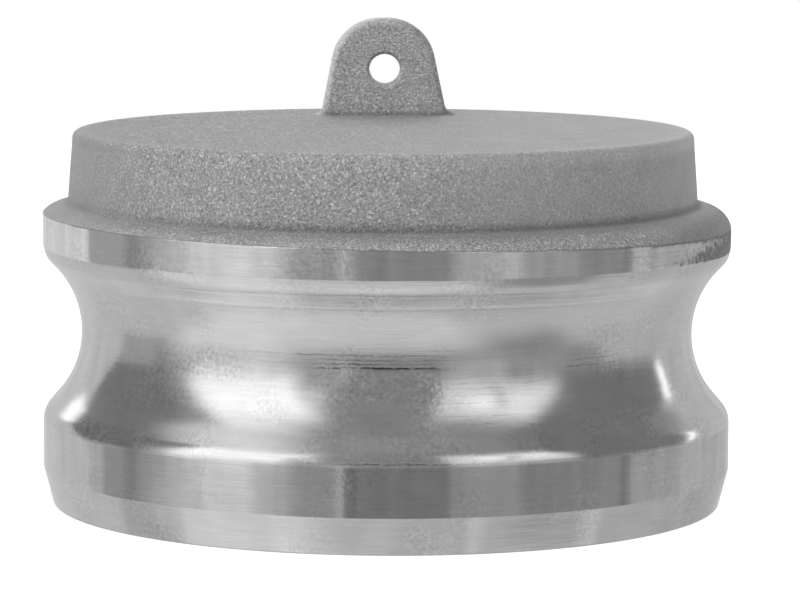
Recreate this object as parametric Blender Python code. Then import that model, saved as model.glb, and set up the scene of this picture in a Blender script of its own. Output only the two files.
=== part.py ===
"""Dust plug for a 3 inch cam and groove coupling, cast in aluminium and turned outside.

One casting: a cap with a chain lug on its top, a flange, and a skirt that is
cored out from below and turned outside with the groove that the cams pull on.
Metres, +Z up. The origin is on the turned axis, in the plane of the open end
that the plug stands on.
"""

import math

import bmesh
import bpy
from mathutils import Matrix

MM = 0.001

# Turned outside, about the Z axis
BAND_RADIUS = 45.75 * MM  # both plain bands, above and below the groove
LEAD_IN_DEPTH = 1.27 * MM  # how much the open end is smaller in radius than the band
LEAD_IN_HEIGHT = 4.9 * MM
GROOVE_HEIGHT = 22.9 * MM  # of the groove's root above the open end
GROOVE_DEPTH = 5.08 * MM
GROOVE_RADIUS = 12.8 * MM
LOWER_FLANK_ANGLE = math.radians(41.0)  # from the axis
UPPER_FLANK_ANGLE = math.radians(44.0)
LOWER_EDGE_ROUND = 2.2 * MM
UPPER_EDGE_ROUND = 3.4 * MM
END_EDGE_BREAK = 0.3 * MM

# Casting, about its own axis, which stands off the turned one towards -X
CAST_OFFSET = 0.6 * MM
TURNING_STOCK = 0.55 * MM  # radial, at the top of the flange
FLANGE_HEIGHT = 5.5 * MM  # from the groove's upper edge to the flange's outer corner
FLANGE_DRAFT = math.radians(0.4)
FLANGE_CORNER_ROUND = 2.9 * MM
SHOULDER_WIDTH = 4.33 * MM  # from the flange's outer corner in to the cap
SHOULDER_ANGLE = math.radians(17.0)  # the shoulder rises towards the cap
CAP_FOOT_ROUND = 0.8 * MM
CAP_HEIGHT = 9.6 * MM
CAP_DRAFT = math.radians(4.2)
CAP_EDGE_ROUND = 1.6 * MM

# Core, which leaves the hollow open below
WALL_AT_GROOVE = 6.2 * MM
CORE_DRAFT = math.radians(2.0)
CROWN_THICKNESS = 8.7 * MM  # between the hollow and the top face
CORE_CORNER_ROUND = 6.0 * MM
MOUTH_EDGE_BREAK = 0.8 * MM

# Chain lug, an upright plate near the back of the top face
LUG_INSET = 12.75 * MM  # from the cap's edge at the back to the middle of the plate
LUG_HEIGHT = 13.3 * MM
LUG_FOOT_WIDTH = 17.6 * MM
LUG_FOOT_THICKNESS = 5.2 * MM
LUG_TOP_THICKNESS = 4.2 * MM
LUG_SIDE_ANGLE = math.radians(11.5)  # from upright
LUG_CROWN_RADIUS = 7.0 * MM
LUG_EDGE_ROUND = 0.9 * MM
LUG_FOOT_FLARE = 1.1 * MM
LUG_LEAN = math.radians(0.6)  # the top stands a little towards -X
LUG_HOLE_RADIUS = 2.1 * MM
LUG_HOLE_HEIGHT = 6.35 * MM  # above the top face

# Facets and helpers
TURN_STEPS = 72
ARC_STEP = math.radians(11.0)
HOLE_STEPS = 28
QUARTER_STEPS = 3  # to a quarter turn of the lug's small roundings
SHARP_ANGLE = math.radians(30.0)  # faces that meet at more than this keep a sharp edge
ROUNDING_SHARE = 0.95  # of the shorter wall beside it, the most that a rounding takes up
OVERCUT = 3.0 * MM  # how far a cutter reaches past what it cuts
JOINT_DEPTH = 1.0 * MM  # how far the lug reaches into the cap
MERGE_DISTANCE = 0.001 * MM


def groove_edge(angle):
    """Height, from the groove's root, at which a flank of this angle meets the band."""
    flank_depth = GROOVE_DEPTH - GROOVE_RADIUS * (1 - math.cos(angle))
    return GROOVE_RADIUS * math.sin(angle) + flank_depth / math.tan(angle)


# Heights that follow from the sizes above
GROOVE_BOTTOM = GROOVE_HEIGHT - groove_edge(LOWER_FLANK_ANGLE)
GROOVE_TOP = GROOVE_HEIGHT + groove_edge(UPPER_FLANK_ANGLE)
FLANGE_CORNER = GROOVE_TOP + FLANGE_HEIGHT
FLANGE_RADIUS = BAND_RADIUS + TURNING_STOCK
CAP_FOOT = FLANGE_CORNER + SHOULDER_WIDTH * math.tan(SHOULDER_ANGLE)
CAP_FOOT_RADIUS = FLANGE_RADIUS - SHOULDER_WIDTH
TOP_FACE = CAP_FOOT + CAP_HEIGHT
CAP_TOP_RADIUS = CAP_FOOT_RADIUS - CAP_HEIGHT * math.tan(CAP_DRAFT)
LUG_SETBACK = CAP_TOP_RADIUS - LUG_INSET
CORE_RADIUS = BAND_RADIUS - GROOVE_DEPTH - WALL_AT_GROOVE


def arc_points(centre, radius, start, sweep):
    """Points along an arc, ends included, as (radius, height) pairs."""
    steps = max(2, math.ceil(abs(sweep) / ARC_STEP))
    angles = (start + sweep * i / steps for i in range(steps + 1))
    return [(centre[0] + radius * math.cos(a), centre[1] + radius * math.sin(a)) for a in angles]


def corner_arc(before, corner, after, radius):
    """The arc that rounds a corner, kept within the shorter of its two walls."""
    to_before = (before[0] - corner[0], before[1] - corner[1])
    to_after = (after[0] - corner[0], after[1] - corner[1])
    walls = math.hypot(*to_before), math.hypot(*to_after)
    way_in = math.atan2(to_before[1], to_before[0])
    way_out = math.atan2(to_after[1], to_after[0])
    opening = math.remainder(way_out - way_in, math.tau)
    half = abs(opening) / 2
    radius = min(radius, ROUNDING_SHARE * min(walls) * math.tan(half))
    middle = way_in + opening / 2
    reach = radius / math.sin(half)
    centre = (corner[0] + reach * math.cos(middle), corner[1] + reach * math.sin(middle))
    side = math.copysign(math.pi / 2, opening)
    sweep = -math.copysign(math.pi - 2 * half, opening)
    return arc_points(centre, radius, way_in - side, sweep)


def rounded(outline):
    """An outline of (radius, height, corner radius) entries with its corners rounded."""
    points = []
    for i, (radius, height, corner) in enumerate(outline):
        if corner:
            points += corner_arc(outline[i - 1], (radius, height), outline[i + 1], corner)
        else:
            points.append((radius, height))
    return points


def new_object(name, bm, material):
    """An object from a bmesh, shaded smooth but for its edges."""
    bmesh.ops.recalc_face_normals(bm, faces=bm.faces)
    mesh = bpy.data.meshes.new(name)
    bm.to_mesh(mesh)
    bm.free()
    mesh.shade_smooth()
    mesh.set_sharp_from_angle(angle=SHARP_ANGLE)
    mesh.materials.append(material)
    obj = bpy.data.objects.new(name, mesh)
    bpy.context.scene.collection.objects.link(obj)
    return obj


def turned(name, profile, offset, material):
    """A solid of revolution about the upright line at X = offset; the profile ends on it."""
    bm = bmesh.new()
    verts = [bm.verts.new((radius, 0.0, height)) for radius, height in profile]
    edges = [bm.edges.new(pair) for pair in zip(verts, verts[1:])]
    bmesh.ops.spin(
        bm,
        geom=verts + edges,
        cent=(0.0, 0.0, 0.0),
        axis=(0.0, 0.0, 1.0),
        angle=math.tau,
        steps=TURN_STEPS,
    )
    bmesh.ops.remove_doubles(bm, verts=bm.verts, dist=MERGE_DISTANCE)
    bmesh.ops.translate(bm, verts=bm.verts, vec=(offset, 0.0, 0.0))
    return new_object(name, bm, material)


def blank_profile():
    """The cast outside, before turning, from the middle of its foot to the middle of its top."""
    foot_radius = FLANGE_RADIUS + (FLANGE_CORNER + OVERCUT) * math.tan(FLANGE_DRAFT)
    return rounded(
        [
            (0.0, -OVERCUT, 0.0),
            (foot_radius, -OVERCUT, 0.0),
            (FLANGE_RADIUS, FLANGE_CORNER, FLANGE_CORNER_ROUND),
            (CAP_FOOT_RADIUS, CAP_FOOT, CAP_FOOT_ROUND),
            (CAP_TOP_RADIUS, TOP_FACE, CAP_EDGE_ROUND),
            (0.0, TOP_FACE, 0.0),
        ]
    )


def envelope_profile():
    """The lathe's path: what lies inside it stays. It runs clear above the lug."""
    root_radius = BAND_RADIUS - GROOVE_DEPTH
    centre = (root_radius + GROOVE_RADIUS, GROOVE_HEIGHT)
    sweep = -(LOWER_FLANK_ANGLE + UPPER_FLANK_ANGLE)
    groove = arc_points(centre, GROOVE_RADIUS, math.pi + LOWER_FLANK_ANGLE, sweep)
    clear = TOP_FACE + LUG_HEIGHT + OVERCUT
    return rounded(
        [
            (0.0, 0.0, 0.0),
            (BAND_RADIUS - LEAD_IN_DEPTH, 0.0, END_EDGE_BREAK),
            (BAND_RADIUS, LEAD_IN_HEIGHT, 0.0),
            (BAND_RADIUS, GROOVE_BOTTOM, LOWER_EDGE_ROUND),
            *((radius, height, 0.0) for radius, height in groove),
            (BAND_RADIUS, GROOVE_TOP, UPPER_EDGE_ROUND),
            (BAND_RADIUS, clear, 0.0),
            (0.0, clear, 0.0),
        ]
    )


def core_profile():
    """The hollow, from below the mouth to the middle of its ceiling."""
    ceiling = TOP_FACE - CROWN_THICKNESS
    ceiling_radius = CORE_RADIUS - ceiling * math.tan(CORE_DRAFT)
    below = 2 * OVERCUT
    return rounded(
        [
            (0.0, -below, 0.0),
            (CORE_RADIUS + MOUTH_EDGE_BREAK + below, -below, 0.0),
            (CORE_RADIUS, MOUTH_EDGE_BREAK, 0.0),
            (ceiling_radius, ceiling, CORE_CORNER_ROUND),
            (0.0, ceiling, 0.0),
        ]
    )


def lug_middle(height):
    """Where the leaning lug's middle is in X at a height above the top face."""
    return -CAST_OFFSET - height * math.tan(LUG_LEAN)


def lug_side(height):
    """Half the lug's width on its straight side, at a height above the top face."""
    return LUG_FOOT_WIDTH / 2 - height * math.tan(LUG_SIDE_ANGLE)


def quarter_angles():
    """The angles of a quarter turn, both ends included."""
    return [i * math.pi / 2 / QUARTER_STEPS for i in range(QUARTER_STEPS + 1)]


def lug_outline():
    """Half the lug's face as (half width, height): the flare, the side and the crown."""
    flare = (LUG_FOOT_FLARE * (1 - math.cos(angle)) for angle in quarter_angles())
    crown = rounded(
        [
            (lug_side(0.0), 0.0, 0.0),
            (lug_side(LUG_HEIGHT), LUG_HEIGHT, LUG_CROWN_RADIUS),
            (0.0, LUG_HEIGHT, 0.0),
        ]
    )
    return [(lug_side(height), height) for height in flare] + crown[1:-1]


def quarter_drop(distance, radius):
    """How far a rounding of this radius falls back at a distance from its edge."""
    if distance >= radius:
        return 0.0
    return radius - math.sqrt(radius**2 - (radius - distance) ** 2)


def lug_section(half_width, half_depth, corner):
    """A rounded rectangle in X and Y, counter-clockwise."""
    corner = min(corner, ROUNDING_SHARE * half_width, ROUNDING_SHARE * half_depth)
    x, y = half_width - corner, half_depth - corner
    points = []
    for quarter, centre in enumerate([(x, y), (-x, y), (-x, -y), (x, -y)]):
        for angle in quarter_angles():
            turn = quarter * math.pi / 2 + angle
            points.append((centre[0] + corner * math.cos(turn), centre[1] + corner * math.sin(turn)))
    return points


def build_lug(material):
    """The lug as a loft of level sections, flared at its foot and rounded at its edges."""
    bm = bmesh.new()
    rings = []
    for half_width, height in [(lug_side(0.0), -JOINT_DEPTH), *lug_outline()]:
        above = max(height, 0.0)
        flare = quarter_drop(above, LUG_FOOT_FLARE)
        thinning = (LUG_FOOT_THICKNESS - LUG_TOP_THICKNESS) * above / LUG_HEIGHT
        half_depth = (LUG_FOOT_THICKNESS - thinning) / 2 + flare
        half_depth -= quarter_drop(LUG_HEIGHT - height, LUG_EDGE_ROUND)
        section = lug_section(half_width + flare, half_depth, LUG_EDGE_ROUND + flare)
        middle = lug_middle(above)
        rings.append([bm.verts.new((middle + x, y, height)) for x, y in section])
    for low, high in zip(rings, rings[1:]):
        for i in range(len(low)):
            j = (i + 1) % len(low)
            bm.faces.new((low[i], low[j], high[j], high[i]))
    bm.faces.new(reversed(rings[0]))
    bm.faces.new(rings[-1])
    bmesh.ops.translate(bm, verts=bm.verts, vec=(0.0, LUG_SETBACK, TOP_FACE))
    return new_object("lug_pattern", bm, material)


def build_lug_hole(material):
    """A round bar along Y through the lug."""
    place = Matrix.Translation(
        (lug_middle(LUG_HOLE_HEIGHT), LUG_SETBACK, TOP_FACE + LUG_HOLE_HEIGHT)
    )
    bm = bmesh.new()
    bmesh.ops.create_cone(
        bm,
        cap_ends=True,
        segments=HOLE_STEPS,
        radius1=LUG_HOLE_RADIUS,
        radius2=LUG_HOLE_RADIUS,
        depth=LUG_FOOT_THICKNESS + 2 * OVERCUT,
        matrix=place @ Matrix.Rotation(math.pi / 2, 4, "X"),
    )
    return new_object("lug_hole", bm, material)


def metal(name, colour, roughness):
    material = bpy.data.materials.new(name)
    material.use_nodes = True
    shader = material.node_tree.nodes["Principled BSDF"]
    shader.inputs["Base Color"].default_value = (*colour, 1.0)
    shader.inputs["Roughness"].default_value = roughness
    shader.inputs["Metallic"].default_value = 1.0
    return material


def combine(obj, other, operation):
    """A live exact Boolean; the other object is kept as a helper, drawn as wire."""
    modifier = obj.modifiers.new(other.name, "BOOLEAN")
    modifier.operation = operation
    modifier.object = other
    modifier.solver = "EXACT"
    modifier.material_mode = "TRANSFER"
    other.hide_render = True
    other.display_type = "WIRE"


def clear_scene():
    for obj in list(bpy.data.objects):
        bpy.data.objects.remove(obj)


def build_plug():
    cast = metal("cast_aluminium", (0.50, 0.50, 0.50), 0.62)
    lathe_cut = metal("turned_aluminium", (0.66, 0.66, 0.66), 0.34)
    plug = turned("plug_casting", blank_profile(), -CAST_OFFSET, cast)
    combine(plug, build_lug(cast), "UNION")
    combine(plug, build_lug_hole(cast), "DIFFERENCE")
    combine(plug, turned("core", core_profile(), -CAST_OFFSET, cast), "DIFFERENCE")
    combine(plug, turned("lathe_path", envelope_profile(), 0.0, lathe_cut), "INTERSECT")


clear_scene()
build_plug()
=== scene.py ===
"""Looks of the dust plug for a 3 inch cam and groove coupling.

The plug is one aluminium casting. Its cap, shoulder, chain lug and hollow keep the
skin of the mould, and its skirt is turned: a lead-in, two plain bands and the groove
between them. The casting stands a little off the axis that it was turned about, so
the lathe's cut ends in a ragged line whose height changes round the flange.
"""

from __future__ import annotations

import logging
import math
from collections.abc import Callable, Iterable, Sequence
from dataclasses import dataclass, field
from enum import Enum

import bmesh
import bpy
from mathutils import Matrix, Vector

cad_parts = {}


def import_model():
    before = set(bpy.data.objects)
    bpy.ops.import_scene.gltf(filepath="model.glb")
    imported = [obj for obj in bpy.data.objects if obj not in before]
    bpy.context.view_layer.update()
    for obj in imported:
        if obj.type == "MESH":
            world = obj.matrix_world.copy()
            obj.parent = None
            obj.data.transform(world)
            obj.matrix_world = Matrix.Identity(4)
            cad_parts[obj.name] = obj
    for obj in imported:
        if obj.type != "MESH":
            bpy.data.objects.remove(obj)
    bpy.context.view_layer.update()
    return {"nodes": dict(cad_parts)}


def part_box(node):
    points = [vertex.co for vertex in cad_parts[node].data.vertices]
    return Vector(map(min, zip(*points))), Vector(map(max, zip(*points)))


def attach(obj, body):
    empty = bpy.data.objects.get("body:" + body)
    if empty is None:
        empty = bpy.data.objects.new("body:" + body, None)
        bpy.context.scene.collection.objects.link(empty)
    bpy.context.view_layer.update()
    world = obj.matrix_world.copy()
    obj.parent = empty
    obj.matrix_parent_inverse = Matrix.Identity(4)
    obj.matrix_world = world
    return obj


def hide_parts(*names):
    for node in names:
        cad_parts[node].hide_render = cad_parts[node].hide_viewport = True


MM = 0.001
TURN = 360.0  # degrees
DEGREES = 180 / math.pi  # in a radian
BRIGHTEST = 0.95  # the most that bare metal reflects
FACED_STOCK = 2.0  # metres, more than any radius
FAINT_LINES = (16.1, 17.0, 17.9, 18.6, 19.5, 20.3, 20.9)  # heights in millimetres
LOG = logging.getLogger("dust_plug")
# The painted light attribute: painted highlight where above 0, painted shade where below 0.
STOCK, PAINTED_LIGHT = "stock", "wear"
RING_VALUES = ("lathe_radius", "faced", PAINTED_LIGHT, "offset", "tilt")

Point = tuple[float, float]
# A point of the lug's plate: x, depth, height and its painted highlight or shade.
PaintedLightPoint = tuple[float, float, float, float]


class Surface(Enum):
    """How a stretch of the plug's outline was made."""

    CAST = "cast"
    TURNED = "turned"
    FACED = "faced"


def math_node(operation: str, reflected: bool = False) -> Callable[..., Socket]:
    """Makes a Socket method that adds a Math node.

    Args:
        operation: The Math node's operation.
        reflected: Whether the socket is the last operand, and not the first.

    Returns:
        The method.
    """

    def method(socket: Socket, *others: Value) -> Socket:
        """Adds the node to the socket's graph."""
        operands = (*others, socket) if reflected else (socket, *others)
        settings = {"operation": operation}
        return socket.graph.add("ShaderNodeMath", settings, dict(enumerate(operands)))[0]

    return method


class Socket:
    """One output of a node, with Python's operators standing for Math nodes."""

    __add__, __radd__ = math_node("ADD"), math_node("ADD", reflected=True)
    __sub__, __rsub__ = math_node("SUBTRACT"), math_node("SUBTRACT", reflected=True)
    __mul__, __rmul__ = math_node("MULTIPLY"), math_node("MULTIPLY", reflected=True)
    __truediv__, __rtruediv__ = math_node("DIVIDE"), math_node("DIVIDE", reflected=True)
    __mod__, __abs__ = math_node("MODULO"), math_node("ABSOLUTE")
    at_least, at_most = math_node("MAXIMUM"), math_node("MINIMUM")
    floor, root = math_node("FLOOR"), math_node("SQRT")
    sine, cosine = math_node("SINE"), math_node("COSINE")
    arcsine, angle_from = math_node("ARCSINE"), math_node("ARCTAN2")

    def __init__(self, graph: Graph, output: bpy.types.NodeSocket) -> None:
        """Keeps the output and the graph that new nodes go into."""
        self.graph = graph
        self.output = output

    def rise(self, start: Value, end: Value) -> Socket:
        """Goes smoothly from 0 to 1 as this value goes from start to end."""
        return self.graph.add(
            "ShaderNodeMapRange",
            {"interpolation_type": "SMOOTHSTEP"},
            {"Value": self, "From Min": start, "From Max": end},
        )["Result"]


Value = Socket | float


class Node:
    """A placed node, whose outputs are read by name, identifier or position."""

    def __init__(self, graph: Graph, node: bpy.types.Node) -> None:
        """Keeps the node."""
        self.graph = graph
        self.node = node

    def __getitem__(self, key: str | int) -> Socket:
        """The output of that name, identifier or position."""
        return Socket(self.graph, find_socket(self.node.outputs, key))


def find_socket(sockets: Sequence[bpy.types.NodeSocket], key: str | int) -> bpy.types.NodeSocket:
    """Finds one of a node's sockets.

    Args:
        sockets: The node's inputs or outputs.
        key: An identifier, a name or a position.

    Returns:
        The socket, an enabled one where names repeat.
    """
    if isinstance(key, int):
        return sockets[key]
    for socket in sockets:
        if socket.enabled and key in (socket.identifier, socket.name):
            return socket
    raise KeyError(f"no socket {key!r} among {[s.identifier for s in sockets]}")


class Graph:
    """A node tree of any kind, filled by one method."""

    def __init__(self, tree: bpy.types.NodeTree) -> None:
        """Empties the tree."""
        self.tree = tree
        tree.nodes.clear()

    def add(self, kind: str, settings: dict | None = None, inputs: dict | None = None) -> Node:
        """Places a node.

        Args:
            kind: The node's type.
            settings: Properties of the node, set before its sockets.
            inputs: Values, links or lists of links, by socket name, identifier or position.

        Returns:
            The placed node.
        """
        node = self.tree.nodes.new(kind)
        for name, value in (settings or {}).items():
            setattr(node, name, value)
        for key, value in (inputs or {}).items():
            socket = find_socket(node.inputs, key)
            for each in value if isinstance(value, list) else [value]:
                if isinstance(each, Socket):
                    self.tree.links.new(each.output, socket)
                else:
                    socket.default_value = each
        return Node(self, node)

    def mix(self, factor: Value, low: Value, high: Value, label: str = "") -> Socket:
        """Blends two numbers: low where factor is 0 and high where it is 1."""
        settings = {"data_type": "FLOAT", "label": label}
        inputs = {"Factor_Float": factor, "A_Float": low, "B_Float": high}
        return self.add("ShaderNodeMix", settings, inputs)["Result_Float"]

    def vector(self, x: Value, y: Value, z: Value) -> Socket:
        """A vector from three numbers."""
        return self.add("ShaderNodeCombineXYZ", {}, {"X": x, "Y": y, "Z": z})["Vector"]

    def split(self, vector: Socket) -> tuple[Socket, Socket, Socket]:
        """The three parts of a vector."""
        parts = self.add("ShaderNodeSeparateXYZ", {}, {"Vector": vector})
        return parts["X"], parts["Y"], parts["Z"]

    def noise(self, place: Socket, size: Value, detail: float = 2.0, seed: Value = 0.0) -> Socket:
        """Noise from 0 to 1.

        Args:
            place: Where to read it, in metres.
            size: How large its patches are, in metres.
            detail: How many finer layers it has.
            seed: Which noise it is.

        Returns:
            The noise's value.
        """
        inputs = {"Vector": place, "W": seed, "Scale": 1.0 / size, "Detail": detail}
        return self.add("ShaderNodeTexNoise", {"noise_dimensions": "4D"}, inputs)["Fac"]


def polar(centre: Point, radius: float, angle: float) -> Point:
    """The point at this distance and angle from a centre."""
    return centre[0] + radius * math.cos(angle), centre[1] + radius * math.sin(angle)


def between(start: Point, end: Point, share: float) -> Point:
    """The point that lies this share of the way from start to end."""
    return tuple(a + (b - a) * share for a, b in zip(start, end))


class Roundings:
    """Outlines with rounded corners and rows that are close enough together."""

    arc_step = math.radians(9.0)
    arc_length = 0.5 * MM
    wall_share = 0.95

    @classmethod
    def arc(cls, centre: Point, radius: float, start: float, sweep: float) -> list[Point]:
        """Points along an arc.

        Args:
            centre: The arc's centre.
            radius: Its radius.
            start: The angle it starts at.
            sweep: The angle it covers, negative where it goes clockwise.

        Returns:
            The points, ends included.
        """
        by_angle, by_length = abs(sweep) / cls.arc_step, abs(sweep) * radius / cls.arc_length
        steps = max(math.ceil(by_angle), math.ceil(by_length), 2)
        return [polar(centre, radius, start + sweep * i / steps) for i in range(steps + 1)]

    @classmethod
    def corner(cls, before: Point, corner: Point, after: Point, radius: float) -> list[Point]:
        """The arc that rounds a corner, kept within the shorter of its two walls.

        Args:
            before: The corner before it.
            corner: The corner.
            after: The corner after it.
            radius: The rounding's radius.

        Returns:
            The arc's points.
        """
        to_before = (before[0] - corner[0], before[1] - corner[1])
        to_after = (after[0] - corner[0], after[1] - corner[1])
        way_in = math.atan2(to_before[1], to_before[0])
        way_out = math.atan2(to_after[1], to_after[0])
        opening = math.remainder(way_out - way_in, math.tau)
        half = abs(opening) / 2
        wall = min(math.hypot(*to_before), math.hypot(*to_after))
        radius = min(radius, cls.wall_share * wall * math.tan(half))
        middle = way_in + opening / 2
        reach = radius / math.sin(half)
        side = math.copysign(math.pi / 2, opening)
        sweep = -math.copysign(math.pi - 2 * half, opening)
        return cls.arc(polar(corner, reach, middle), radius, way_in - side, sweep)

    @classmethod
    def rounded(cls, *outline: tuple[float, ...]) -> list[Point]:
        """Rounds an outline's corners.

        Args:
            outline: Its corners, as x, y and, where it is rounded, the rounding's radius.

        Returns:
            The rounded outline's points.
        """
        points: list[Point] = []
        for i, (x, y, *radius) in enumerate(outline):
            if radius:
                after = outline[(i + 1) % len(outline)]
                points += cls.corner(outline[i - 1][:2], (x, y), after[:2], *radius)
            else:
                points.append((x, y))
        return points

    @staticmethod
    def spaced(points: Sequence[Point], spacing: float) -> list[Point]:
        """The same outline with its long straight stretches divided.

        Args:
            points: The outline.
            spacing: The longest step between two points, in metres.

        Returns:
            The points, with as many added as that takes.
        """
        dense = [points[0]]
        for start, end in zip(points, points[1:]):
            steps = max(1, math.ceil(math.dist(start, end) / spacing))
            dense += [between(start, end, i / steps) for i in range(1, steps + 1)]
        return dense


@dataclass(frozen=True)
class Ring:
    """One level of the plug's outline.

    The casting's radius is measured from the casting's own axis, and the lathe's from the
    turned one. Nothing is left outside the lathe's radius. Offset is how much of the casting's
    offset the ring has, and tilt how much of its tilt. Painted light is 1 for a full painted
    highlight on an edge, and -1 for painted shade in a crease.
    """

    cast_radius: float
    height: float
    lathe_radius: float
    made: Surface
    wear: float = 0.0
    offset: float = 1.0
    tilt: float = 0.0

    @property
    def faced(self) -> float:
        """What makes a faced ring's stock count as wholly turned, in metres."""
        return FACED_STOCK if self.made is Surface.FACED else 0.0


@dataclass(frozen=True)
class PlugOutline:
    """The sizes of the turned and cast shapes, in metres."""

    band_radius: float
    lead_in_depth: float = 1.27 * MM
    lead_in_height: float = 4.9 * MM
    groove_height: float = 22.9 * MM
    groove_depth: float = 5.08 * MM
    groove_radius: float = 12.8 * MM
    lower_flank_angle: float = math.radians(41.0)
    upper_flank_angle: float = math.radians(44.0)
    lower_edge_round: float = 3.0 * MM
    upper_edge_round: float = 2.5 * MM
    upper_break: float = 1.1 * MM
    upper_break_angle: float = math.radians(14.0)
    upper_break_round: float = 0.4 * MM
    end_edge_break: float = 0.3 * MM
    turning_stock: float = 0.43 * MM
    skirt_stock: float = 1.0 * MM
    flange_height: float = 5.5 * MM
    flange_draft: float = math.radians(1.0)
    flange_offset: float = 0.66
    flange_corner_round: float = 2.9 * MM
    shoulder_width: float = 4.285 * MM
    shoulder_angle: float = math.radians(17.0)
    cap_foot_round: float = 0.8 * MM
    cap_height: float = 9.49 * MM
    cap_draft: float = math.radians(4.2)
    cap_edge_round: float = 1.0 * MM
    wall_at_groove: float = 6.2 * MM
    core_draft: float = math.radians(2.0)
    crown_thickness: float = 8.7 * MM
    core_corner_round: float = 6.0 * MM
    mouth_edge_break: float = 0.8 * MM
    # Painted shade in the crease at the cap's foot, and painted highlights on the rims of the top
    # and the flange.
    crease_reach: float = 0.95 * MM
    rim_reach: float = 2.4 * MM
    rim_highlight: float = 0.2
    clear_of_lathe: float = 1.0
    core_rows: float = 5.0 * MM
    turned_rows: float = 2.5 * MM
    seam_rows: float = 0.22 * MM
    skin_rows: float = 0.45 * MM
    top_rows: float = 1.2 * MM

    def groove_edge(self, angle: float) -> float:
        """Height, from the groove's root, at which a flank of this angle meets the band."""
        flank_depth = self.groove_depth - self.groove_radius * (1 - math.cos(angle))
        return self.groove_radius * math.sin(angle) + flank_depth / math.tan(angle)

    @property
    def groove_top(self) -> float:
        """Height of the corner between the groove and the upper band."""
        return self.groove_height + self.groove_edge(self.upper_flank_angle)

    @property
    def flange_corner(self) -> float:
        """Height of the flange's outer corner."""
        return self.groove_top + self.flange_height

    @property
    def flange_radius(self) -> float:
        """Radius of the casting at the flange's outer corner."""
        return self.band_radius + self.turning_stock

    @property
    def cap_foot(self) -> Point:
        """Radius and height at which the cap rises from the shoulder."""
        rise = self.shoulder_width * math.tan(self.shoulder_angle)
        return self.flange_radius - self.shoulder_width, self.flange_corner + rise

    @property
    def top_face(self) -> float:
        """Height of the cap's top."""
        return self.cap_foot[1] + self.cap_height

    @property
    def cap_top_radius(self) -> float:
        """Radius of the cap's top, before its edge is rounded."""
        return self.cap_foot[0] - self.cap_height * math.tan(self.cap_draft)

    def blank_radius(self, height: float) -> float:
        """Radius of the unturned flange, which narrows downwards from its corner."""
        return self.flange_radius - (self.flange_corner - height) * math.tan(self.flange_draft)

    def hollow(self) -> list[Point]:
        """Draws the hollow.

        Returns:
            Its outline, from the middle of its ceiling to the mouth.
        """
        core_radius = self.band_radius - self.groove_depth - self.wall_at_groove
        ceiling = self.top_face - self.crown_thickness
        ceiling_radius = core_radius - ceiling * math.tan(self.core_draft)
        return Roundings.rounded(
            (0.0, ceiling),
            (ceiling_radius, ceiling, self.core_corner_round),
            (core_radius, self.mouth_edge_break),
            (core_radius + self.mouth_edge_break, 0.0),
        )

    def skirt(self) -> list[Point]:
        """Draws the turned skirt.

        Returns:
            Its outline, from the open end to the upper band.
        """
        root_radius = self.band_radius - self.groove_depth
        centre = (root_radius + self.groove_radius, self.groove_height)
        sweep = -(self.lower_flank_angle + self.upper_flank_angle)
        groove = Roundings.arc(centre, self.groove_radius, math.pi + self.lower_flank_angle, sweep)
        bottom = self.groove_height - self.groove_edge(self.lower_flank_angle)
        slope, flank = self.upper_break_angle, self.upper_flank_angle
        down = self.upper_break * math.sin(slope) / math.sin(flank - slope)
        edge = (self.band_radius - down * math.sin(flank), self.groove_top - down * math.cos(flank))
        outline = Roundings.rounded(
            (0.0, 0.0),
            (self.band_radius - self.lead_in_depth, 0.0, self.end_edge_break),
            (self.band_radius, self.lead_in_height),
            (self.band_radius, bottom, self.lower_edge_round),
            *groove,
            (*edge, self.upper_edge_round),
            (self.band_radius, self.groove_top + self.upper_break, self.upper_break_round),
            (self.band_radius, self.flange_corner),
        )
        return outline[1:-1]

    def skin(self) -> list[Point]:
        """Draws the casting's outside.

        Returns:
            Its outline, from the upper band to the middle of the top.
        """
        start = self.skirt()[-1][1]
        foot_radius, foot = self.cap_foot
        return Roundings.rounded(
            (self.blank_radius(start), start),
            (self.flange_radius, self.flange_corner, self.flange_corner_round),
            (foot_radius, foot, self.cap_foot_round),
            (self.cap_top_radius, self.top_face, self.cap_edge_round),
            (0.0, self.top_face),
        )

    def rings(self) -> list[Ring]:
        """Cuts the whole outline into rings.

        Returns:
            The rings, from the middle of the ceiling round to the middle of the top.
        """
        clear = self.clear_of_lathe
        inside = Roundings.spaced(self.hollow(), self.core_rows)
        rings = [Ring(radius, height, clear, Surface.CAST) for radius, height in inside]
        mouth, lip = rings[-1].cast_radius, self.skirt()[0][0]
        for radius, height in Roundings.spaced([(mouth, 0.0), (lip, 0.0)], self.core_rows)[:-1]:
            rings.append(Ring(radius, height, clear, Surface.FACED))
        for radius, height in Roundings.spaced(self.skirt(), self.turned_rows):
            at_edge = height > self.groove_top
            blank = self.blank_radius(height) if at_edge else self.band_radius + self.skirt_stock
            rings.append(Ring(blank, height, radius, Surface.TURNED, offset=self.flange_offset))
        return rings + self.skin_rings()

    def skin_rings(self) -> list[Ring]:
        """Cuts the casting's outside into rings.

        Returns:
            The rings, closest together where the lathe's cut ends.
        """
        skin = self.skin()
        foot = self.cap_foot[0] + self.cap_foot_round
        shoulder = next(i for i, (radius, _) in enumerate(skin) if radius < foot)
        edge = len(skin) - 2
        stretches = [
            (skin[: shoulder + 1], self.seam_rows),
            (skin[shoulder : edge + 1], self.skin_rows),
            (skin[edge:], self.top_rows),
        ]
        points = [point for part, rows in stretches for point in Roundings.spaced(part, rows)[1:]]
        return [self.skin_ring(*point) for point in points]

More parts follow.
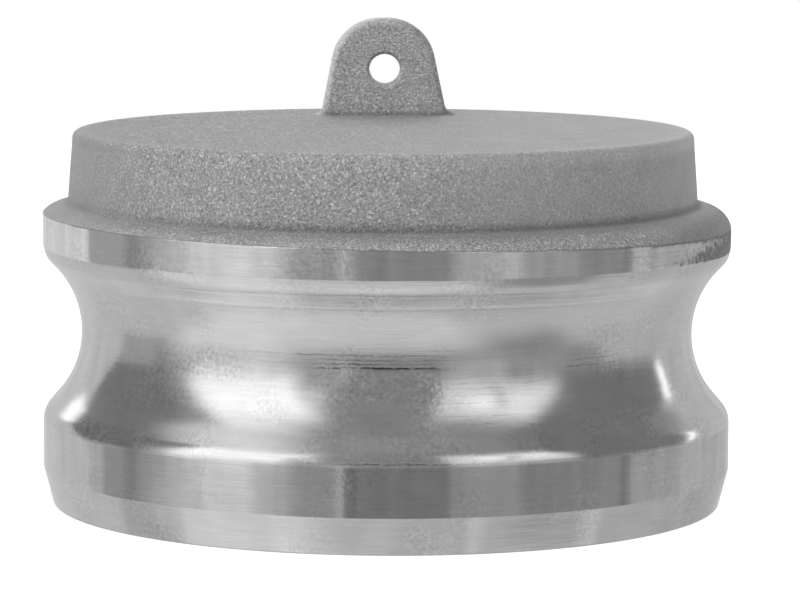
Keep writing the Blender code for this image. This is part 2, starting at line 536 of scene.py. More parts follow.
    def skin_ring(self, radius: float, height: float) -> Ring:
        """Makes one ring of the casting's outside.

        Args:
            radius: Its radius from the casting's axis.
            height: Its height.

        Returns:
            The ring, with its painted light, offset and tilt.
        """
        # Painted shade in the crease at the cap's foot.
        wear = -self.near((radius, height), self.cap_foot, self.crease_reach)
        # Painted highlights on the rims of the top and the flange.
        rims = (self.cap_top_radius, self.top_face), (self.flange_radius, self.flange_corner)
        for rim in rims:
            wear += self.rim_highlight * self.near((radius, height), rim, self.rim_reach)
        tilt = max(0.0, height - self.cap_foot[1]) / self.cap_height
        inward = (self.flange_radius - radius) / self.shoulder_width
        offset = self.flange_offset + (1 - self.flange_offset) * min(1.0, max(0.0, inward))
        return Ring(radius, height, self.band_radius, Surface.CAST, wear, offset, tilt)

    @staticmethod
    def near(point: Point, corner: Point, reach: float) -> float:
        """1 at a corner, falling to 0 at its reach."""
        return max(0.0, 1.0 - math.dist(point, corner) / reach)


@dataclass(frozen=True)
class ChainLug:
    """The upright plate that a chain would be fastened to, and its sizes in metres."""

    outline: PlugOutline
    cast_offset: float
    inset: float = 12.75 * MM
    height: float = 13.43 * MM
    foot_width: float = 17.6 * MM
    foot_thickness: float = 5.2 * MM
    top_thickness: float = 4.2 * MM
    side_angle: float = math.radians(11.5)
    crown_radius: float = 6.75 * MM
    edge_round: float = 0.95 * MM
    foot_flare: float = 1.1 * MM
    lean: float = math.radians(0.6)
    hole_radius: float = 2.1 * MM
    hole_height: float = 6.36 * MM
    hole_aside: float = 0.16 * MM
    hole_edge_round: float = 0.55 * MM
    # Painted light on the hole's rim: a highlight on its lower side and shade on its upper side,
    # turned by this angle.
    rim_light_turn: float = math.radians(-20.0)
    rim_highlight: float = 0.3
    # Painted light on the plate's edges: lighter on the left, darker on the right.
    painted_edge_light: float = 0.35
    painted_light_slope: float = 0.75
    # Painted shade in the crease at the plate's foot.
    crease_shade_depth: float = 0.75
    crease_height: float = 0.25 * MM
    crease_reach: float = 0.55 * MM
    sunk: float = 1.7 * MM
    sunk_corner_round: float = 1.3 * MM
    point_spacing: float = 0.45 * MM
    foot_rows: float = 0.22 * MM
    face_rows: int = 8
    round_steps: int = 6

    def side(self, height: float) -> float:
        """Half the width on the straight side, at a height above the top face."""
        return self.foot_width / 2 - height * math.tan(self.side_angle)

    def flare(self, height: float) -> float:
        """How far the foot's rounding stands out at a height above the top face."""
        below = self.foot_flare - min(max(height, 0.0), self.foot_flare)
        return self.foot_flare - math.sqrt(self.foot_flare**2 - below**2)

    def half_depth(self, height: float) -> float:
        """Half the plate's thickness at a height above the top face, without the flare."""
        thinning = (self.foot_thickness - self.top_thickness) * height / self.height
        return (self.foot_thickness - thinning) / 2

    def face(self) -> list[Point]:
        """Draws the plate without its flare.

        Returns:
            Its outline as (x, height), counter-clockwise.
        """
        low, foot, top = -self.sunk, self.foot_flare, self.height
        outline = Roundings.rounded(
            (-self.side(low), low, self.sunk_corner_round),
            (self.side(low), low, self.sunk_corner_round),
            (self.side(0.0), 0.0),
            (self.side(foot), foot),
            (self.side(top), top, self.crown_radius),
            (-self.side(top), top, self.crown_radius),
            (-self.side(foot), foot),
            (-self.side(0.0), 0.0),
        )
        dense = []
        for start, end in zip(outline, outline[1:] + outline[:1]):
            at_foot = max(start[1], end[1]) <= foot + self.edge_round
            spacing = self.foot_rows if at_foot and start[0] * end[0] > 0 else self.point_spacing
            dense += Roundings.spaced([start, end], spacing)[:-1]
        return dense

    def wear(self, x: float, height: float, angle: float) -> float:
        """How much painted highlight or painted shade a place on the plate has.

        Args:
            x: The place's distance from the plate's middle.
            height: Its height above the top face.
            angle: Its angle round the edge's rounding, 0 at the plate's side.

        Returns:
            The painted light, as a ring has it.
        """
        # Painted shade in the crease at the plate's foot.
        crease = max(0.0, 1.0 - abs(height - self.crease_height) / self.crease_reach)
        crease *= abs(x) < self.side(0.0)
        # Painted light on the edge roundings: lighter on the left, darker on the right.
        aside = max(-1.0, min(1.0, x / self.side(self.height)))
        edge_light = self.painted_edge_light - self.painted_light_slope * aside
        return max(0.0, math.cos(angle)) * edge_light - crease * self.crease_shade_depth

    def lifted(self, points: Sequence[Point], angle: float) -> list[PaintedLightPoint]:
        """Lifts points of the outline onto the plate's face.

        Args:
            points: The points as (x, height).
            angle: Their angle round the edge's rounding, 90 degrees on the flat face.

        Returns:
            The points as (x, depth, height, painted light).
        """
        ring = []
        for x, height in points:
            flare = self.flare(height)
            at_side = abs(x) > self.side(self.height)
            aside = math.copysign(flare * math.cos(angle), x) if at_side else 0.0
            fallen = self.edge_round * (1 - math.sin(angle))
            depth = self.half_depth(height) - fallen + flare * math.sin(angle)
            ring.append((x + aside, depth, height, self.wear(x, height, angle)))
        return ring

    def face_rings(self) -> list[list[PaintedLightPoint]]:
        """Lays rings of points over one face.

        Returns:
            The rings as (x, depth, height, painted light), from the plate's edge into the hole.
        """
        face, flat_angle = self.face(), math.pi / 2
        quarter = [i * flat_angle / self.round_steps for i in range(self.round_steps + 1)]
        insets = [self.edge_round * (1 - math.cos(angle)) for angle in quarter]
        rings = [self.lifted(inset_outline(face, inset), a) for inset, a in zip(insets, quarter)]
        rim = self.hole_radius + self.hole_edge_round
        flat = inset_outline(face, self.edge_round)
        centre = (self.hole_aside, self.hole_height)
        directions = [math.atan2(height - centre[1], x - centre[0]) for x, height in flat]
        circle = [polar(centre, rim, a) for a in directions]
        drop = self.hole_height - rim - min(height for _, height in flat)
        fine = math.ceil((self.sunk + 2 * self.foot_flare) / self.foot_rows)
        reached = (self.sunk + self.foot_flare) / drop
        shares = [reached * i / fine for i in range(1, fine)]
        shares += [reached + (1 - reached) * i / self.face_rows for i in range(self.face_rows + 1)]
        for share in shares:
            points = [between(start, end, share) for start, end in zip(flat, circle)]
            rings.append(self.lifted(points, flat_angle))
        for angle in quarter[1:]:
            radius = rim - self.hole_edge_round * math.sin(angle)
            fallen = self.hole_edge_round * (1 - math.cos(angle))
            ring = []
            for a in directions:
                x, height = polar(centre, radius, a)
                # Painted light on the hole's rim: a highlight on its lower side and shade on its
                # upper side.
                painted = min(self.rim_highlight, -math.sin(angle) * math.sin(a + self.rim_light_turn))
                ring.append((x, self.half_depth(height) - fallen, height, painted))
            rings.append(ring)
        return rings

    def place(self) -> Matrix:
        """Where the plate stands: leaning a little, near the back of the top face."""
        setback = self.outline.cap_top_radius - self.inset
        stand = Matrix.Translation((-self.cast_offset, setback, self.outline.top_face))
        return stand @ Matrix.Rotation(-self.lean, 4, "Y")

    def build(self) -> bpy.types.Object:
        """Makes the plate, with rounded edges and its hole.

        Returns:
            A closed mesh object, which the plug's tree joins to the cap.
        """
        bm = bmesh.new()
        stock = bm.verts.layers.float.new(STOCK)
        # A layer for the painted highlights and shade on the plate.
        wear = bm.verts.layers.float.new(PAINTED_LIGHT)
        sides = []
        for side in (-1, 1):
            rings = []
            for points in self.face_rings():
                ring = [bm.verts.new((x, side * depth, height)) for x, depth, height, _ in points]
                for vert, (_, _, _, painted) in zip(ring, points):
                    vert[stock] = -self.sunk
                    vert[wear] = painted
                rings.append(ring)
            for outer, inner in zip(rings, rings[1:]):
                bridge(bm, outer, inner)
            sides.append(rings)
        front, back = sides
        bridge(bm, front[0], back[0])
        bridge(bm, front[-1], back[-1])
        bmesh.ops.recalc_face_normals(bm, faces=bm.faces)
        bm.transform(self.place())
        return mesh_object("lug", bm)


def inset_outline(points: Sequence[Point], inset: float) -> list[Point]:
    """Moves an outline inwards, along its own normals.

    Args:
        points: The outline, counter-clockwise.
        inset: How far it moves.

    Returns:
        The moved outline.
    """
    moved = []
    for i, (x, y) in enumerate(points):
        before, after = points[i - 1], points[(i + 1) % len(points)]
        along = Vector((after[0] - before[0], after[1] - before[1])).normalized()
        moved.append((x - along.y * inset, y + along.x * inset))
    return moved


def bridge(bm: bmesh.types.BMesh, first: Sequence, second: Sequence) -> None:
    """Joins two rings of as many vertices by a strip of faces."""
    for i in range(len(first)):
        j = (i + 1) % len(first)
        bm.faces.new((first[i], first[j], second[j], second[i]))


def placed(name: str, data: bpy.types.ID) -> bpy.types.Object:
    """Puts an object with this data at the scene's origin."""
    obj = bpy.data.objects.new(name, data)
    bpy.context.scene.collection.objects.link(obj)
    return obj


def mesh_object(name: str, bm: bmesh.types.BMesh) -> bpy.types.Object:
    """Turns a bmesh into an object.

    Args:
        name: The object's name.
        bm: The bmesh, which is freed.

    Returns:
        The object.
    """
    mesh = bpy.data.meshes.new(name)
    bm.to_mesh(mesh)
    bm.free()
    return placed(name, mesh)


def plain_copy(source: bpy.types.Object, name: str) -> bpy.types.Object:
    """Keeps what an object's modifiers make of it.

    Args:
        source: The object with modifiers.
        name: The new object's name.

    Returns:
        A plain mesh object.
    """
    bpy.context.view_layer.update()
    evaluated = source.evaluated_get(bpy.context.evaluated_depsgraph_get())
    mesh = bpy.data.meshes.new_from_object(evaluated)
    mesh.name = name
    return placed(name, mesh)


def new_material(name: str) -> tuple[bpy.types.Material, Graph]:
    """A material with an empty graph."""
    material = bpy.data.materials.new(name)
    material.use_nodes = True
    return material, Graph(material.node_tree)


def metal(graph: Graph, tone: Value, roughness: Value, more: dict | None = None) -> Socket:
    """Bare aluminium.

    Args:
        graph: The material's graph.
        tone: Its neutral reflectance.
        roughness: Its roughness.
        more: Other inputs, by name.

    Returns:
        The BSDF.
    """
    colour = graph.add("ShaderNodeCombineColor", {}, {0: tone, 1: tone, 2: tone})[0]
    inputs = {"Base Color": colour, "Metallic": 1.0, "Roughness": roughness, **(more or {})}
    return graph.add("ShaderNodeBsdfPrincipled", {}, inputs)["BSDF"]


def bump(graph: Graph, height: Socket) -> Socket:
    """The normal of a surface with this relief, in metres."""
    inputs = {"Strength": 1.0, "Distance": 1.0, "Height": height}
    return graph.add("ShaderNodeBump", {}, inputs)["Normal"]


@dataclass(frozen=True)
class CastSkin:
    """The matte, gritty skin that the mould leaves on aluminium.

    Sizes are in metres. Each group of three is where a change along X starts and ends, and how
    large it is: calmer grain to the right and at both ends, weaker painted shade in the creases on
    the left, and painted shade on the shoulder's right. The skin also has painted highlights on
    rims and edges, painted glints, a painted lighter lug and painted light rising to the right
    across the top.
    """

    colour: float = 0.56
    # Painted highlights on rims and edges, and painted shade in the creases.
    highlight_gain: float = 0.75
    crease_shade_gain: float = 0.44
    roughness: float = 0.66
    roughness_gain: float = 0.5
    grit: float = 0.35 * MM
    grit_depth: float = 0.24 * MM
    grit_gain: float = 0.95
    fine_grit: float = 0.2 * MM
    fine_share: float = 0.9
    # Painted glints on the grit's brightest specks.
    glint_start: float = 0.60
    glint_end: float = 0.74
    glint_gain: float = 0.38
    calm_right: tuple[float, float, float] = (0.0, 18.0 * MM, 0.42)
    calm_ends: tuple[float, float, float] = (30.0 * MM, 40.0 * MM, 0.55)
    # Painted shade in the creases: less of it on the left.
    crease_shade_left: tuple[float, float, float] = (-38.0 * MM, -6.0 * MM, 0.35)
    # Painted shade on the shoulder's right.
    shade: tuple[float, float, float] = (32.0 * MM, 42.0 * MM, 0.26)
    shoulder_top: float = 40.0 * MM
    top_start: float = 47.4 * MM
    top_end: float = 48.4 * MM
    # Painted light across the top, lighter towards the right.
    top_light_slope: float = 2.3
    lug_start: float = 50.5 * MM
    lug_end: float = 51.5 * MM
    # Painted light on the lug, lighter than the rest.
    lug_light_gain: float = 0.13
    waviness: float = 3.4 * MM
    waviness_depth: float = 0.18 * MM
    wave_gain: float = 0.22

    def shader(self, graph: Graph, place: Socket) -> Socket:
        """Builds the skin.

        Args:
            graph: The material's graph.
            place: Object coordinates.

        Returns:
            The BSDF.
        """
        wear = graph.add("ShaderNodeAttribute", {"attribute_name": PAINTED_LIGHT})["Fac"]
        coarse = graph.noise(place, self.grit, detail=2.0, seed=1.0)
        fine = graph.noise(place, self.fine_grit, detail=1.0, seed=2.0)
        wave = graph.noise(place, self.waviness, detail=2.0, seed=3.0)
        x, _, z = graph.split(place)
        on_lug = z.rise(self.lug_start, self.lug_end)
        on_shoulder = z.rise(self.shoulder_top, self.shoulder_top - MM)
        start, end, share = self.calm_ends
        grain = 1.0 - abs(x).rise(start, end) * share
        start, end, share = self.calm_right
        grain = grain * (1.0 - x.rise(start, end) * (1.0 - on_lug - on_shoulder) * share)
        grit = (coarse + (fine - 0.5) * self.fine_share - 0.5) * grain + 0.5
        # Painted glints: the grit's brightest specks are lightened, more so on painted highlights.
        glints = grit.rise(self.glint_start, self.glint_end)
        height = grit * self.grit_depth + wave * self.waviness_depth
        gain = 1.0 + (grit - 0.5) * self.grit_gain + (wave - 0.5) * self.wave_gain
        gain = gain + glints * (wear.at_least(0.0) + 1.0) * self.glint_gain
        # Painted light: the lug lighter than the rest of the skin.
        gain = gain + on_lug * self.lug_light_gain
        # Painted shade on the shoulder's right.
        start, end, share = self.shade
        gain = gain - x.rise(start, end) * on_shoulder * share
        # Painted light: the cap's top lighter towards the right, darker to the left.
        gain = gain + z.rise(self.top_start, self.top_end) * x * self.top_light_slope
        # Painted shade in the creases, weaker on the left, and painted highlights on rims and
        # edges.
        start, end, least = self.crease_shade_left
        crease_shade = wear.at_most(0.0) * graph.mix(x.rise(start, end), least, 1.0)
        painted = 1.0 + wear.at_least(0.0) * self.highlight_gain + crease_shade * self.crease_shade_gain
        tone = (gain * painted * self.colour).at_most(BRIGHTEST)
        rough = self.roughness - (grit - 0.5) * self.roughness_gain
        return metal(graph, tone, rough, {"Normal": bump(graph, height)})


@dataclass(frozen=True)
class Zone:
    """A stretch of the turned skirt with a look of its own: a painted reflection, dulling and
    mottle. Heights in metres.
    """

    low: float
    high: float
    painted_reflection: float = 1.0
    dulling: float = 0.0
    mottle: float = 0.0
    soft: float = 0.4 * MM
    start: float = -360.0
    end: float = 360.0
    soft_ends: float = 20.0
    soft_behind: float = 25.0
    side: float = 90.0

    def fade(self, end: float) -> float:
        """How softly the zone ends: always softly behind the plug's sides."""
        return self.soft_ends if abs(end) < self.side else self.soft_behind

    def mask(self, z: Socket, azimuth: Socket) -> Socket:
        """Shows where the zone is.

        Args:
            z: Height.
            azimuth: Angle round the plug in degrees, 0 in front.

        Returns:
            1 in the zone and 0 outside it.
        """
        half, before, after = self.soft / 2, self.fade(self.start), self.fade(self.end)
        low = z.rise(self.low - half, self.low + half)
        high = z.rise(self.high + half, self.high - half)
        start = azimuth.rise(self.start - before, self.start + before)
        return low * high * start * azimuth.rise(self.end + after, self.end - after)


def strip(low: float, high: float, soft: float, *patches: tuple[float, ...]) -> list[Zone]:
    """The zones of one strip of the skirt, each tinted with a painted reflection.

    Args:
        low: Height of the strip's lower edge, in millimetres.
        high: Height of its upper edge, in millimetres.
        soft: How wide its edges' blends are, in millimetres.
        patches: Painted reflection tint, start, end and soft ends of each zone.

    Returns:
        The zones.
    """
    return [
        Zone(low * MM, high * MM, painted_reflection, soft=soft * MM, start=start, end=end, soft_ends=ends)
        for painted_reflection, start, end, ends in patches
    ]


@dataclass(frozen=True)
class ScoreLine:
    """A dark line that a stray edge cut round part of the skirt. Azimuth is 0 in front."""

    height: float
    width: float
    start: float
    end: float
    strength: float
    soft_ends: float = 9.0

    def mask(self, z: Socket, azimuth: Socket, dashes: Socket) -> Socket:
        """Shows how dark the line is.

        Args:
            z: Height.
            azimuth: Angle round the plug in degrees, 0 in front.
            dashes: Where the line is broken.

        Returns:
            Its darkness, from 0 to its strength.
        """
        line = abs(z - self.height).rise(self.width, 0.0)
        start = azimuth.rise(self.start - self.soft_ends, self.start + self.soft_ends)
        end = azimuth.rise(self.end + self.soft_ends, self.end - self.soft_ends)
        return line * start * end * dashes * self.strength


@dataclass(frozen=True)
class TurnedFinish:
    """Bright aluminium with the fine rings that the lathe's tool leaves, and painted reflections in
    zones. Sizes in metres.
    """

    colour: float = 0.62
    roughness: float = 0.17
    anisotropy: float = 0.6
    anisotropy_turn: float = 0.25
    ring_pitch: float = 0.24 * MM
    ring_length: float = 4.5 * MM
    ring_depth: float = 0.010 * MM
    ring_gain: float = 0.22
    furrow_pitch: float = 1.1 * MM
    furrow_length: float = 14.0 * MM
    furrow_depth: float = 0.022 * MM
    mottle: float = 0.50 * MM
    mottle_depth: float = 0.012 * MM
    mottle_gain: float = 0.70
    nick: float = 0.9 * MM
    line_wander: float = 0.6 * MM
    dash_rings: tuple[float, float] = (0.35, 0.55)
    dash_nicks: tuple[float, float] = (0.70, 0.52)
    patch: float = 8.0 * MM
    patch_edge: tuple[float, float] = (0.44, 0.66)
    cloud: float = 5.0 * MM
    cloud_gain: float = 0.30
    roughness_gain: float = 0.12
    # Painted reflections: each zone's tint paints lighter or darker patches of the surroundings
    # into the metal's colour.
    zones: tuple[Zone, ...] = (
        Zone(-1.0 * MM, 11.2 * MM, painted_reflection=0.82, dulling=-0.05),
        *strip(0.2, 11.2, 0.4, (1.22, -125, -57, 1.5)),
        *strip(4.9, 11.2, 0.1, (1.46, -57, -52, 1.2), (1.18, -30, -21, 2), (1.14, -17, -13, 1)),
        *strip(4.9, 11.2, 0.1, (0.93, -6.6, 10, 0.4), (0.88, -6.6, -4.6, 0.4), (0.88, 11, 31, 1)),
        *strip(4.9, 11.2, 0.1, (1.16, 33.5, 40, 1), (0.86, 40.3, 42.3, 0.5), (1.14, 55, 67, 2)),
        *strip(0.2, 4.9, 0.1, (1.21, -57, -47.5, 1.2), (0.90, -38, -34, 1), (1.17, -34, -9, 3)),
        *strip(0.2, 4.9, 0.1, (1.12, -18, -13, 1.5), (0.91, 1, 13, 1.5), (1.33, 13, 36, 1.5)),
        *strip(0.2, 4.9, 0.1, (1.12, 18, 58, 2)),
        Zone(34.4 * MM, 40.0 * MM, dulling=-0.05, soft=0.2 * MM),
        *strip(34.4, 40.0, 0.2, (1.28, -125, -56, 0.5), (1.12, -58.5, -56, 0.5)),
        Zone(34.2 * MM, 37.6 * MM, 0.97, mottle=1.2, start=-46, end=-39, soft_ends=3),
        *strip(34.4, 40.0, 0.2, (0.86, -37.5, -31.5, 1.5), (0.88, -10, -7, 0.7)),
        *strip(34.4, 40.0, 0.2, (1.42, -6.4, -4.6, 0.8), (1.15, 17, 25, 2)),
        *strip(34.4, 40.0, 0.2, (0.84, 40.3, 42.3, 0.5), (1.14, 42.3, 46.5, 0.6)),
        Zone(12.6 * MM, 25.0 * MM, mottle=0.1, soft=3.0 * MM),
        Zone(18.6 * MM, 22.8 * MM, mottle=0.8, soft=1.5 * MM, start=-7, end=8, soft_ends=3),
        Zone(11.4 * MM, 13.6 * MM, 0.9, 0.0, 1.1, 0.6 * MM, start=-62, end=-40, soft_ends=4),
        Zone(20.6 * MM, 24.6 * MM, 0.94, 0.0, 1.0, 1.0 * MM, start=-44, end=-26, soft_ends=5),
        Zone(30.6 * MM, 32.4 * MM, 1.32, dulling=0.10, soft=0.5 * MM, start=-42, end=42),
    )
    lines: tuple[ScoreLine, ...] = (
        ScoreLine(22.9 * MM, 0.24 * MM, -13, 10, 0.95, 6.0),
        ScoreLine(22.6 * MM, 0.14 * MM, -2, 9, 0.6),
        ScoreLine(23.4 * MM, 0.15 * MM, -18, 6, 0.6),
        ScoreLine(23.9 * MM, 0.12 * MM, -14, 9, 0.55),
        ScoreLine(24.5 * MM, 0.14 * MM, -22, 8, 0.5),
        *(ScoreLine(z * MM, 0.10 * MM, 11, 22, 0.3, 3.0) for z in FAINT_LINES),
        ScoreLine(22.4 * MM, 0.13 * MM, 33, 45, 0.5, 2.0),
        ScoreLine(23.2 * MM, 0.11 * MM, 34, 46, 0.4, 2.0),
        ScoreLine(23.8 * MM, 0.09 * MM, 34, 45, 0.3, 2.0),
        ScoreLine(11.6 * MM, 0.14 * MM, -7, 11, 0.7),
        ScoreLine(12.1 * MM, 0.09 * MM, -4, 9, 0.4),
        ScoreLine(10.8 * MM, 0.09 * MM, -6, 6, 0.35),
        ScoreLine(30.4 * MM, 0.12 * MM, -30, 34, 0.2),
        ScoreLine(31.0 * MM, 0.09 * MM, -16, 44, 0.25),
    )

    @staticmethod
    def ringed(graph: Graph, place: Socket, pitch: float, length: float, seed: float) -> Socket:
        """Noise drawn out round the axis into rings.

        Args:
            graph: The material's graph.
            place: Object coordinates.
            pitch: How far apart the rings are.
            length: How long each is.
            seed: Which noise it is.

        Returns:
            The noise's value.
        """
        x, y, z = graph.split(place)
        along = pitch / length
        reach = (x * x + y * y).root()
        return graph.noise(graph.vector(x * along, y * along, z + reach), pitch, 2.0, seed)

    def shader(self, graph: Graph, place: Socket) -> Socket:
        """Builds the finish.

        Args:
            graph: The material's graph.
            place: Object coordinates.

        Returns:
            The BSDF.
        """
        x, y, z = graph.split(place)
        azimuth = x.angle_from(-1.0 * y) * DEGREES
        rings = self.ringed(graph, place, self.ring_pitch, self.ring_length, 4.0)
        furrows = self.ringed(graph, place, self.furrow_pitch, self.furrow_length, 5.0)
        cloud = graph.noise(place, self.cloud, detail=3.0, seed=8.0)
        patches = graph.noise(place, self.patch, detail=2.0, seed=6.0).rise(*self.patch_edge)
        mottle = graph.noise(place, self.mottle, detail=2.0, seed=9.0) - 0.5
        painted_reflection, dulling, dark = 1.0, 0.0, 0.0
        for zone in self.zones:
            inside = zone.mask(z, azimuth)
            # Painted reflections: each zone's tint scales the metal's colour.
            painted_reflection = painted_reflection * (1.0 + inside * (zone.painted_reflection - 1.0))
            dulling = dulling + inside * zone.dulling
            patches = patches + inside * zone.mottle
        mottle = mottle * patches
        nicks = graph.noise(place, self.nick, detail=2.0, seed=10.0)
        scored = z + (nicks - 0.5) * self.line_wander
        dashes = rings.rise(*self.dash_rings) * nicks.rise(*self.dash_nicks)
        for line in self.lines:
            dark = dark + line.mask(scored, azimuth, dashes)
        gain = 1.0 + (rings - 0.5) * self.ring_gain + mottle * self.mottle_gain
        gain = (gain + (cloud - 0.5) * self.cloud_gain) * painted_reflection * (1.0 - dark)
        height = rings * self.ring_depth + furrows * self.furrow_depth + mottle * self.mottle_depth
        tone = (gain * self.colour).at_most(BRIGHTEST)
        rough = self.roughness + (cloud - 0.5 + mottle) * self.roughness_gain + dulling
        brushed = {
            "Anisotropic": self.anisotropy,
            "Anisotropic Rotation": self.anisotropy_turn,
            "Normal": bump(graph, height),
        }
        return metal(graph, tone, rough, brushed)


@dataclass(frozen=True)
class CastingFinish:
    """The whole casting's material: turned where the lathe took stock, and cast elsewhere."""

    cast: CastSkin = field(default_factory=CastSkin)
    turned: TurnedFinish = field(default_factory=TurnedFinish)
    ragged: float = 0.7 * MM
    ragged_depth: float = 0.06 * MM
    edge: float = 0.03 * MM
    burr: float = 0.06 * MM
    burr_share: float = 0.5
    burr_colour: float = 0.2
    burr_roughness: float = 0.8

    def material(self) -> bpy.types.Material:
        """Builds the material.

        Returns:
            The material.
        """
        material, graph = new_material("aluminium_casting")
        place = graph.add("ShaderNodeTexCoord")["Object"]
        stock = graph.add("ShaderNodeAttribute", {"attribute_name": STOCK})["Fac"]
        wander = graph.noise(place, self.ragged, detail=3.0, seed=7.0) - 0.5
        taken = stock + wander * (2 * self.ragged_depth)
        turned = taken.rise(0.0, self.edge)
        skins = {0: turned, 1: self.cast.shader(graph, place), 2: self.turned.shader(graph, place)}
        clean = graph.add("ShaderNodeMixShader", {}, skins)[0]
        dirty = metal(graph, self.burr_colour, self.burr_roughness)
        at_edge = abs(taken).rise(self.burr, 0.0) * self.burr_share
        shader = graph.add("ShaderNodeMixShader", {}, {0: at_edge, 1: clean, 2: dirty})[0]
        graph.add("ShaderNodeOutputMaterial", {}, {"Surface": shader})
        return material


@dataclass(frozen=True)
class CastingTree:
    """Geometry nodes that sweep the rings about the casting's axis and cut them to the lathe's."""

    turns: int = 380
    cast_offset: float = 0.6 * MM
    cast_tilt: float = math.radians(0.15)
    relief_depth: float = 0.05 * MM
    relief_size: float = 2.6 * MM
    relief_seed: float = 11.0
    relief_fade: float = 0.25 * MM
    stock_limit: float = 2.0 * MM
    weld: float = 0.002 * MM
    sharp_angle: float = math.radians(13.0)

    def sizes(self) -> dict[str, float]:
        """The tree's inputs that are numbers, by name."""
        return {
            "Turns": self.turns,
            "Cast Offset": self.cast_offset,
            "Cast Tilt": math.tan(self.cast_tilt),
            "Relief Depth": self.relief_depth,
            "Relief Size": self.relief_size,
            "Relief Seed": self.relief_seed,
        }

    def tree(self) -> tuple[bpy.types.NodeTree, dict[str, str]]:
        """Builds the tree.

        Returns:
            The node group, and its inputs' identifiers by name.
        """
        group = bpy.data.node_groups.new("cast_and_turned", "GeometryNodeTree")
        kinds = {"Rings": "Geometry", "Lug": "Object", "Finish": "Material"}
        for name, size in self.sizes().items():
            kinds[name] = "Int" if isinstance(size, int) else "Float"
        sockets = {
            name: group.interface.new_socket(name, in_out="INPUT", socket_type=f"NodeSocket{kind}")
            for name, kind in kinds.items()
        }
        group.interface.new_socket("Casting", in_out="OUTPUT", socket_type="NodeSocketGeometry")
        graph = Graph(group)
        given = graph.add("NodeGroupInput")
        swept = self.sweep(graph, given)
        lug = graph.add("GeometryNodeObjectInfo", {}, {"Object": given["Lug"]})["Geometry"]
        settings = {"operation": "UNION", "solver": "MANIFOLD"}
        joined = graph.add("GeometryNodeMeshBoolean", settings, {"Mesh 2": [swept, lug]})["Mesh"]
        relieved = self.relieve(graph, given, joined)
        smooth = graph.add("GeometryNodeSetShadeSmooth", {}, {"Geometry": relieved})["Geometry"]
        single = graph.add("GeometryNodeRealizeInstances", {}, {"Geometry": smooth})["Geometry"]
        inputs = {"Geometry": single, "Material": given["Finish"]}
        dressed = graph.add("GeometryNodeSetMaterial", {}, inputs)["Geometry"]
        graph.add("NodeGroupOutput", {}, {"Casting": dressed})
        return group, {name: socket.identifier for name, socket in sockets.items()}

    @staticmethod
    def named(graph: Graph, name: str) -> Socket:
        """Reads a named attribute."""
        settings = {"data_type": "FLOAT"}
        return graph.add("GeometryNodeInputNamedAttribute", settings, {"Name": name})["Attribute"]

    @staticmethod
    def store(graph: Graph, geometry: Socket, name: str, value: Socket) -> Socket:
        """Stores a value on a geometry's points under a name."""
        settings = {"data_type": "FLOAT", "domain": "POINT"}
        inputs = {"Geometry": geometry, "Name": name, "Value": value}
        return graph.add("GeometryNodeStoreNamedAttribute", settings, inputs)["Geometry"]

    @staticmethod
    def sample(graph: Graph, rings: Socket, value: Socket, index: Socket, kind: str) -> Socket:
        """Reads a value from the ring of that number."""
        inputs = {"Geometry": rings, "Value": value, "Index": index}
        return graph.add("GeometryNodeSampleIndex", {"data_type": kind}, inputs)["Value"]

    def sweep(self, graph: Graph, given: Node) -> Socket:
        """Lays a grid round the rings, with the stock that the lathe took stored on it.

        Args:
            graph: The tree's graph.
            given: The group's inputs.

        Returns:
            The closed skin.
        """
        rings, turns = given["Rings"], given["Turns"]
        count = graph.add("GeometryNodeAttributeDomainSize", {}, {"Geometry": rings})["Point Count"]
        columns = turns + 1
        inputs = {"Vertices X": count, "Vertices Y": columns}
        grid = graph.add("GeometryNodeMeshGrid", {}, inputs)["Mesh"]
        index = graph.add("GeometryNodeInputIndex")["Index"]
        row = ((index + 0.5) / columns).floor()
        column = index - row * columns
        place = graph.add("GeometryNodeInputPosition")["Position"]
        cast_radius, _, height = graph.split(self.sample(graph, rings, place, row, "FLOAT_VECTOR"))
        lathe_radius, faced, wear, offset, tilt = (
            self.sample(graph, rings, self.named(graph, name), row, "FLOAT")
            for name in RING_VALUES
        )
        angle = column / turns * math.tau
        x = cast_radius * angle.cosine() - given["Cast Offset"] * offset
        y = cast_radius * angle.sine()
        reach = (x * x + y * y).root()
        cut = (lathe_radius / reach.at_least(self.weld)).at_most(1.0)
        stock = reach - lathe_radius + faced
        stock = stock.at_most(self.stock_limit).at_least(-self.stock_limit)
        # The rings' painted highlights and shade go onto the grid beside the stock.
        marked = self.store(graph, self.store(graph, grid, STOCK, stock), PAINTED_LIGHT, wear)
        spot = graph.vector(x * cut, y * cut, height + x * (tilt * given["Cast Tilt"]))
        inputs = {"Geometry": marked, "Position": spot}
        shaped = graph.add("GeometryNodeSetPosition", {}, inputs)["Geometry"]
        inputs = {"Geometry": shaped, "Distance": self.weld}
        closed = graph.add("GeometryNodeMergeByDistance", {}, inputs)["Geometry"]
        return graph.add("GeometryNodeFlipFaces", {}, {"Mesh": closed})["Mesh"]

